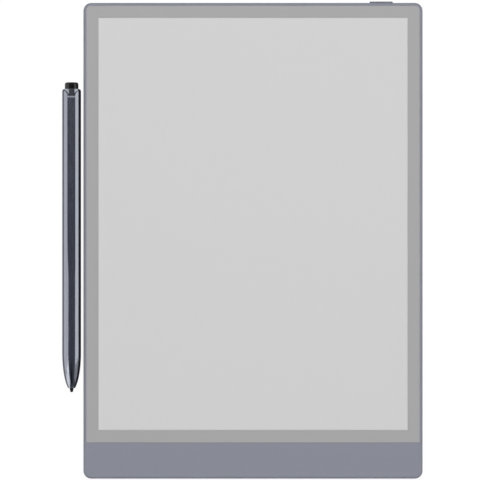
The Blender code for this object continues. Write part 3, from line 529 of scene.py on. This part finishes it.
def build_border():
    """The border sheet: a closed loop of rings over its outer edge, its face and its window."""
    x, y, z = spans("front_bezel")
    x = grown(x, FIT - SHEET_SEAM)
    y = grown(y, FIT - SHEET_SEAM)
    window = [grown(span, FIT) for span in spans("screen_film")[:2]]
    rings = []
    for height, inset in ((z[0], 0.0), (z[1] - SHEET_EDGE, 0.0), (z[1], SHEET_EDGE)):
        rings.append(level_ring(x, y, height, BORDER_CORNER - FIT, SHARP_CORNER, inset))
    for height, inset in ((z[1], -SHEET_EDGE), (z[1] - SHEET_EDGE, 0.0), (z[0], 0.0)):
        rings.append(level_ring(*window, height, SHEET_EDGE, SHEET_EDGE, inset))
    sheet = loft(rings, closed=True)
    add_piece("border_sheet", sheet, "border_print", "tablet", "border_sheet", "front_bezel")


def build_film():
    x, y, z = spans("screen_film")
    x = grown(x, FIT - SHEET_SEAM)
    y = grown(y, FIT - SHEET_SEAM)
    film = loft(slab_rings(x, y, z, SHEET_EDGE, SHEET_EDGE / 2, SHEET_EDGE))
    add_piece("page_film", film, "film", "tablet", "writing_film", "screen_film")


def button_spans():
    """The power button's cap along X and Z."""
    x, _, z = spans("power_button")
    middle = (x[0] + x[1]) / 2
    return (middle - BUTTON_LENGTH / 2, middle + BUTTON_LENGTH / 2), z


def build_power_button():
    """A long cap with round ends on a thin flange."""
    flange_x, y, _ = spans("power_button")
    x, z = button_spans()
    corner = (z[1] - z[0]) / 2 * FULL_ROUND
    root = y[0] + FLANGE_THICKNESS / 2
    cap = loft(along_y(slab_rings(x, z, (root, y[1]), corner, EDGE_BREAK, BUTTON_ROUNDING)))
    flange_z = grown(z, -EDGE_BREAK)
    flange = loft(along_y(slab_rings(flange_x, flange_z, (y[0], y[0] + FLANGE_THICKNESS), SHARP_CORNER,
                                     SHEET_EDGE, SHEET_EDGE)))
    shape = combine(cap, flange, "UNION")
    add_piece("power_key", shape, "button_paint", "power_key", "frame_metal", "power_button")


def build_usb_socket():
    """A drawn steel sleeve with a rounded lip, and a tongue that carries two rows of contacts."""
    x, y, z = spans("usb_shell")
    corner = (z[1] - z[0]) / 2 * FULL_ROUND
    rim = []
    for step in range(ROUND_STEPS + 1):
        angle = math.pi / 2 * step / ROUND_STEPS
        rim.append((SOCKET_LIP * (1 - math.cos(angle)), SOCKET_LIP * (1 - math.sin(angle))))
    profile = [(0.0, y[1])] + [(inset, y[0] + back) for inset, back in rim]
    profile += [(SOCKET_WALL - inset, y[0] + back) for inset, back in reversed(rim)] + [(SOCKET_WALL, y[1])]
    rings = [level_ring(x, z, back, corner, None, inset) for inset, back in profile]
    sleeve = loft(along_y(rings), closed=True)
    add_piece("socket_sleeve", sleeve, "steel", "tablet", "plated_steel", "usb_shell")
    build_tongue()


def build_tongue():
    x, y, z = spans("usb_tongue")
    middle_x = (x[0] + x[1]) / 2
    middle_z = (z[0] + z[1]) / 2
    corner = (z[1] - z[0]) / 2 * FULL_ROUND
    block = loft(along_y(slab_rings(x, z, (y[1] - TONGUE_BLOCK, y[1]), corner, EDGE_BREAK, EDGE_BREAK)))
    blade_x = (middle_x - TONGUE_WIDTH / 2, middle_x + TONGUE_WIDTH / 2)
    blade_z = (middle_z - TONGUE_THICKNESS / 2, middle_z + TONGUE_THICKNESS / 2)
    blade = loft(along_y(slab_rings(blade_x, blade_z, (y[0], y[1] - TONGUE_BLOCK / 2), TONGUE_ROUNDING,
                                    TONGUE_ROUNDING, TONGUE_ROUNDING)))
    tongue = combine(block, blade, "UNION")
    add_piece("socket_tongue", tongue, "black_plastic", "tablet", "black_plastic", "usb_tongue")
    contacts = bmesh.new()
    start = y[0] + CONTACT_SETBACK
    for index in range(CONTACT_COUNT):
        centre = middle_x + (index - (CONTACT_COUNT - 1) / 2) * CONTACT_PITCH
        contact_x = (centre - CONTACT_WIDTH / 2, centre + CONTACT_WIDTH / 2)
        strip = loft(slab_rings(contact_x, (start, start + CONTACT_LENGTH), grown(blade_z, CONTACT_PROUD),
                                CONTACT_PROUD, CONTACT_PROUD / 2, CONTACT_PROUD / 2))
        mesh = bpy.data.meshes.new("work")
        strip.to_mesh(mesh)
        strip.free()
        contacts.from_mesh(mesh)
        bpy.data.meshes.remove(mesh)
    add_piece("socket_contacts", contacts, "gold", "tablet", "plated_steel")


def barrel_section(radius, edge, level, crown, strip=EDGE_STRIP, groove=0.0):
    """Points of one section of the barrel: its front face between two edges, then round its back.

    edge is the angle from the front to the face's edges, level the height of the face's middle, crown the
    radius to which the face is curved, or None where it is flat, strip the width of the walls beside it and
    groove the depth of the groove in them.
    """
    half = radius * math.sin(edge)
    height = radius * math.cos(edge)
    face = []
    for step in range(FRONT_STEPS + 1):
        x = (half - strip) * (2 * step / FRONT_STEPS - 1)
        fall = 0.0 if crown is None else crown - math.sqrt(max(crown * crown - x * x, 0.0))
        face.append((x, level - fall))
    middle = (half - strip / 2, (height + face[0][1]) / 2)
    reach = math.hypot(*middle)
    drawn = max(reach - groove, min(BORE_RADIUS + BORE_WALL, reach)) / reach
    points = [(-half, height), (-middle[0] * drawn, middle[1] * drawn)]
    points += face
    points.append((middle[0] * drawn, middle[1] * drawn))
    for step in range(SIDE_STEPS):
        angle = edge + (2 * math.pi - 2 * edge) * step / SIDE_STEPS
        points.append((radius * math.sin(angle), radius * math.cos(angle)))
    return points


def round_section(radius, edge):
    """A round section with as many points as the others."""
    return barrel_section(radius, edge, radius, radius)


def tail_section(behind, radius, edge):
    """A section at a distance from the tail, where the flat rolls into a notch with a crowned face."""
    roll_start = NOTCH_ROLL_END + NOTCH_ROLL
    shoulder_share = max(1 - behind / SHOULDER_LENGTH, 0.0)
    outer = TAIL_RADIUS + (radius - TAIL_RADIUS) * math.sqrt(1 - shoulder_share ** 2)
    level = FLAT_LEVEL
    crown = None
    strip = EDGE_STRIP
    groove = 0.0
    if behind < roll_start:
        rolled = (roll_start - max(behind, NOTCH_ROLL_END)) / NOTCH_ROLL
        level -= NOTCH_ROLL_DROP * rolled ** 2
    if behind < NOTCH_ROLL_END:
        level -= NOTCH_SLOPE * (NOTCH_ROLL_END - behind)
    if behind < NOTCH_LENGTH:
        into = 1 - behind / NOTCH_LENGTH
        edge += NOTCH_SPREAD * into ** NOTCH_FLARE
        strip += NOTCH_WALL * min(NOTCH_WALL_RATE * into, 1.0)
        groove = NOTCH_GROOVE * min(NOTCH_GROOVE_RATE * into, 1.0)
        crown = NOTCH_CROWN / min(NOTCH_GROOVE_RATE * into + LEAST_CROWN, 1.0)
    return barrel_section(outer, edge, min(level, outer - EDGE_STRIP), crown, strip, groove)


def barrel_stations(radius, front, tail):
    """The barrel's sections from its nose to its tail, and back through its bore: lists of (y, points)."""
    edge = math.acos(FLAT_LEVEL / radius)
    end_angle = math.acos(NOSE_TIP_RADIUS / radius)
    nose_end = front + NOSE_AXIS * math.sin(end_angle)
    stations = []
    for step in range(NOSE_STEPS, -1, -1):
        angle = end_angle * step / NOSE_STEPS
        section = round_section(radius * math.cos(angle), edge)
        stations.append((nose_end - NOSE_AXIS * math.sin(angle), section))
    swell_end = tail - FLAT_LENGTH
    for step in range(SWELL_STEPS, -1, -1):
        share = step / SWELL_STEPS
        roundness = share ** SWELL_POWER
        crown = radius / roundness if step else None
        half = radius * math.sin(edge)
        rise = crown - math.sqrt(crown * crown - half * half) if step else 0.0
        section = barrel_section(radius, edge, FLAT_LEVEL + rise, crown)
        stations.append((swell_end - SWELL_LENGTH * share, section))
    for step in range(TAIL_STEPS, -1, -1):
        behind = TAIL_LENGTH * step / TAIL_STEPS
        stations.append((tail - behind, tail_section(behind, radius, edge)))
    steps = (
        (BORE_RADIUS, tail),
        (BORE_RADIUS, front + NOSE_BORE_END),
        (NOSE_BORE_RADIUS, front + NOSE_BORE_END),
        (NOSE_BORE_RADIUS, front + NIB_GUIDE_DEPTH),
        (NIB_GUIDE_RADIUS, front + NIB_GUIDE_DEPTH),
        (NIB_GUIDE_RADIUS, front),
    )
    return stations, [(y, round_section(inner, edge)) for inner, y in steps]


def build_barrel():
    """The barrel with its bore, sharp edges beside its front face and painted shade in the grooves by its
    notch.
    """
    x, y, z = spans("stylus_barrel")
    radius = (x[1] - x[0]) / 2
    axis_x = (x[0] + x[1]) / 2
    axis_z = z[0] + radius
    outside, bore = barrel_stations(radius, y[0] + NOSE_TRIM, y[1])
    rings = [[(axis_x + across, station, axis_z + up) for across, up in points]
             for station, points in outside + bore]
    shape = loft(rings, closed=True)
    shape.verts.ensure_lookup_table()
    count = len(rings[0])
    nose_rings = NOSE_STEPS + 1
    tail_ring = len(outside) - 1
    for ring in range(nose_rings, tail_ring):
        for index in (LEFT_EDGE, RIGHT_EDGE):
            first = shape.verts[ring * count + index]
            second = shape.verts[(ring + 1) * count + index]
            shape.edges.get((first, second)).smooth = False
    shape.faces.ensure_lookup_table()
    # The walls of the grooves beside the notch take the second finish, a near-black that paints the shade in
    # the creases
    notch_rings = int(TAIL_STEPS * NOTCH_LENGTH / TAIL_LENGTH)
    for ring in range(tail_ring - notch_rings, tail_ring):
        for index in (LEFT_EDGE, LEFT_EDGE + 1, RIGHT_EDGE - 2, RIGHT_EDGE - 1):
            shape.faces[ring * count + index].material_index = 1
    barrel = add_piece("barrel_shell", shape, "barrel", "stylus", "barrel_metal", "stylus_barrel")
    # The second finish: the painted shade of the notch's grooves
    barrel.data.materials.append(make_finish("groove"))


def build_nib():
    """A plain stem behind a slightly tapered tip with a round end."""
    x, y, z = spans("stylus_nib")
    front = spans("stylus_barrel")[1][0]
    shoulder = front + NIB_SHOULDER
    profile = [(NIB_STEM_RADIUS, y[1]), (NIB_STEM_RADIUS, shoulder),
               (NIB_RADIUS, shoulder), (NIB_RADIUS, front)]
    for step in range(TIP_STEPS):
        angle = math.pi / 2 * step / TIP_STEPS
        profile.append((NIB_TIP_RADIUS * math.cos(angle), y[0] + NIB_TIP_RADIUS * (1 - math.sin(angle))))
    shape = loft(turned_rings(profile, (x[0] + x[1]) / 2, (z[0] + z[1]) / 2))
    add_piece("writing_nib", shape, "nib_plastic", "nib", "nib_plastic", "stylus_nib")


def build_eraser():
    """The tail cap: a stem inside the barrel and a cap with a rounded rim."""
    x, y, z = spans("stylus_eraser")
    radius = (x[1] - x[0]) / 2
    seat = spans("stylus_eraser_sensor")[1][1] + ERASER_GAP
    profile = [(ERASER_STEM_RADIUS, y[0]), (ERASER_STEM_RADIUS, seat), (radius, seat)]
    for step in range(TIP_STEPS):
        angle = math.pi / 2 * step / (TIP_STEPS - 1)
        profile.append((radius - ERASER_ROUNDING * (1 - math.cos(angle)),
                        y[1] - ERASER_ROUNDING * (1 - math.sin(angle))))
    shape = loft(turned_rings(profile, (x[0] + x[1]) / 2, (z[0] + z[1]) / 2))
    add_piece("eraser_cap", shape, "eraser_plastic", "eraser", "eraser_plastic", "stylus_eraser")


def dress_inner_parts():
    """Gives the solids that stay as they were packed their finishes."""
    for finish, nodes in INNER_FINISHES.items():
        for node in nodes:
            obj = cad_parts[node]
            obj.data.materials.clear()
            obj.data.materials.append(make_finish(finish))


def build_floor():
    """A white floor: it glows for the camera and in reflections, and the lamp leaves a shadow on it."""
    low = CAD_BOX[0].z
    half = FLOOR_SIZE / 2
    mesh = bpy.data.meshes.new("floor")
    mesh.from_pydata([(-half, -half, low), (half, -half, low), (half, half, low), (-half, half, low)], [],
                     [(0, 1, 2, 3)])
    material = bpy.data.materials.new("floor")
    material.use_nodes = True
    material.cycles.emission_sampling = "NONE"
    tree = material.node_tree
    tree.nodes.clear()
    path = tree.nodes.new("ShaderNodeLightPath")
    share = FLOOR_BOUNCE
    for kind in ("Is Camera Ray", "Is Glossy Ray", "Is Transmission Ray"):
        share = add_operation(tree, "ShaderNodeMath", "MAXIMUM", share, path.outputs[kind]).outputs["Value"]
    strength = add_operation(tree, "ShaderNodeMath", "MULTIPLY", share, FLOOR_GLOW)
    glow = add_node(tree, "ShaderNodeEmission", Strength=strength.outputs["Value"])
    lit = add_node(tree, "ShaderNodeBsdfDiffuse", Color=(*FLOOR_GREY, 1.0))
    both = tree.nodes.new("ShaderNodeAddShader")
    tree.links.new(glow.outputs["Emission"], both.inputs[0])
    tree.links.new(lit.outputs["BSDF"], both.inputs[1])
    output = tree.nodes.new("ShaderNodeOutputMaterial")
    tree.links.new(both.outputs["Shader"], output.inputs["Surface"])
    mesh.materials.append(material)
    floor = bpy.data.objects.new("floor", mesh)
    bpy.context.scene.collection.objects.link(floor)


def build_sky():
    """A dim sky with a dark middle that leans to the near side, over a white horizon."""
    world = bpy.data.worlds.new("studio")
    world.use_nodes = True
    tree = world.node_tree
    place = tree.nodes.new("ShaderNodeTexCoord").outputs["Generated"]
    middle = (0.0, -math.sin(SKY_TILT), math.cos(SKY_TILT))
    lean = add_operation(tree, "ShaderNodeVectorMath", "DOT_PRODUCT", place, middle)
    overhead = add_node(tree, "ShaderNodeValToRGB", Fac=lean.outputs["Value"])
    set_ramp(overhead, SKY)
    height = add_node(tree, "ShaderNodeSeparateXYZ", Vector=place).outputs["Z"]
    horizon = add_node(tree, "ShaderNodeValToRGB", Fac=height)
    set_ramp(horizon, HORIZON)
    light = add_operation(tree, "ShaderNodeVectorMath", "MAXIMUM",
                          overhead.outputs["Color"], horizon.outputs["Color"])
    tree.links.new(light.outputs["Vector"], tree.nodes["Background"].inputs["Color"])
    bpy.context.scene.world = world


def add_lamp(name, place, size, light):
    """A flat lamp that faces the origin, with a given brightness whatever its size, unseen by the camera."""
    lamp = bpy.data.lights.new(name, "AREA")
    lamp.shape = "RECTANGLE"
    lamp.size, lamp.size_y = size
    lamp.energy = light * math.pi * size[0] * size[1]
    lamp.color = LAMP_TINT
    obj = bpy.data.objects.new(name, lamp)
    obj.location = place
    obj.rotation_euler = Vector(place).to_track_quat("Z", "Y").to_euler()
    obj.visible_camera = False
    bpy.context.scene.collection.objects.link(obj)
    return obj


def build_lamps():
    """The lamp lights surfaces and shows in no reflection; the cards only show in reflections."""
    for name, settings in LAMPS.items():
        add_lamp(name, *settings).visible_glossy = False
    for name, settings in CARDS.items():
        add_lamp(name, *settings).visible_diffuse = False
    flat = add_lamp("floor_card", *FLOOR_CARD)
    flat.rotation_euler = (math.pi, 0.0, 0.0)
    flat.visible_diffuse = False


def build_camera():
    """A camera that looks straight down at the front."""
    camera = bpy.data.objects.new("camera", bpy.data.cameras.new("camera"))
    camera.data.sensor_width = SENSOR
    camera.data.lens = SENSOR * CAMERA_DISTANCE / VIEW_WIDTH
    camera.location = (*VIEW_CENTRE, spans("mid_frame")[2][1] + CAMERA_DISTANCE)
    bpy.context.scene.collection.objects.link(camera)
    bpy.context.scene.camera = camera


build_camera()
build_floor()
build_sky()
build_lamps()
build_mid_frame()
build_rear_cover()
build_feet()
build_border()
build_film()
build_power_button()
build_usb_socket()
build_barrel()
build_nib()
build_eraser()
dress_inner_parts()
bpy.context.scene.view_settings.view_transform = "Standard"
